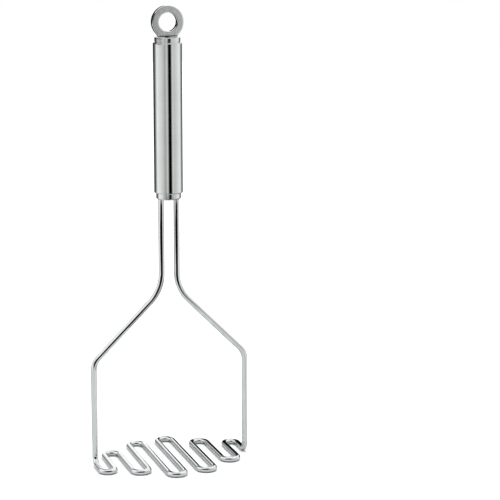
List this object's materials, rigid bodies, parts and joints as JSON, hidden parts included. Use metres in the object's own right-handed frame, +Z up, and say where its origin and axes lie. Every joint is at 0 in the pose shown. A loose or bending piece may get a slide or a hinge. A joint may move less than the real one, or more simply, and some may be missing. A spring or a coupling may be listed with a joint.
{
  "type": "wire potato masher",
  "caption": "Hand masher: one bent steel wire forms a zigzag grid and two legs that run up into a hollow round handle with a swivelling hanging ring.",
  "frame": {"origin": "on the handle axis, on the surface that the grid stands on", "axes": "+Z up the handle, +X along the row of rods, -Y towards the front, the side to which the left leg turns into the grid"},
  "size_m": [0.109, 0.0842, 0.3063],
  "materials": {
    "handle_steel": "satin, brushed round the tube",
    "cap_steel": "turned and polished",
    "wire_steel": "polished wire",
    "weld_steel": "as welded",
    "ring_steel": "cast and polished",
    "pin_steel": "plain turned"
  },
  "bodies": {
    "masher": {"handle_tube": "handle_steel", "upper_cap": "cap_steel", "lower_cap": "cap_steel", "masher_wire": "wire_steel", "weld_left": "weld_steel", "weld_right": "weld_steel"},
    "hanger": {"hanging_ring": "ring_steel", "swivel_pin": "pin_steel", "pin_washer": "pin_steel"}
  },
  "joints": [
    {"name": "ring_swivel", "type": "hinge", "parent": "masher", "child": "hanger", "pos_m": [0, 0, 0.2861], "axis": [0, 0, 1], "continuous": true}
  ]
}
